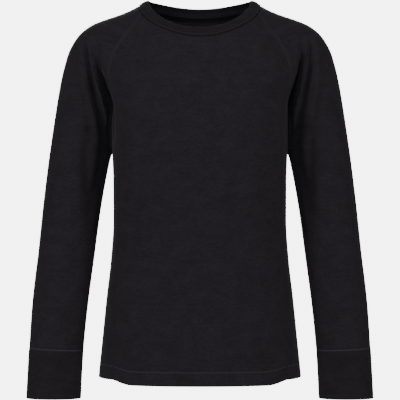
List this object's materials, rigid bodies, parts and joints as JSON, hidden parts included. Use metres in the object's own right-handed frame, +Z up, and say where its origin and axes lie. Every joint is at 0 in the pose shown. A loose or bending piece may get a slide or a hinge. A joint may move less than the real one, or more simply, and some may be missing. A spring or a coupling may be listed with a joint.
{
  "type": "child's base layer top",
  "caption": "Long-sleeved base layer top with raglan sleeves, side panels, long cuffs and a crew neckband, hollow as worn.",
  "frame": {"origin": "on the centre line between the shoulders, level with the foot of the neckband at the side of the neck", "axes": "+Z up, -Y out of the front, +X towards the wearer's left"},
  "size_m": [0.5364, 0.1919, 0.6136],
  "materials": {
    "front": "matt single jersey",
    "back": "matt single jersey",
    "side_panel_left": "matt single jersey",
    "side_panel_right": "matt single jersey",
    "sleeve_left": "matt single jersey",
    "sleeve_right": "matt single jersey",
    "cuff_left": "matt double jersey",
    "cuff_right": "matt double jersey",
    "collar": "matt double jersey"
  },
  "bodies": {
    "root": {"front": "front", "back": "back", "side_panel_left": "side_panel_left", "side_panel_right": "side_panel_right", "sleeve_left": "sleeve_left", "sleeve_right": "sleeve_right", "cuff_left": "cuff_left", "cuff_right": "cuff_right", "collar": "collar"}
  },
  "joints": []
}
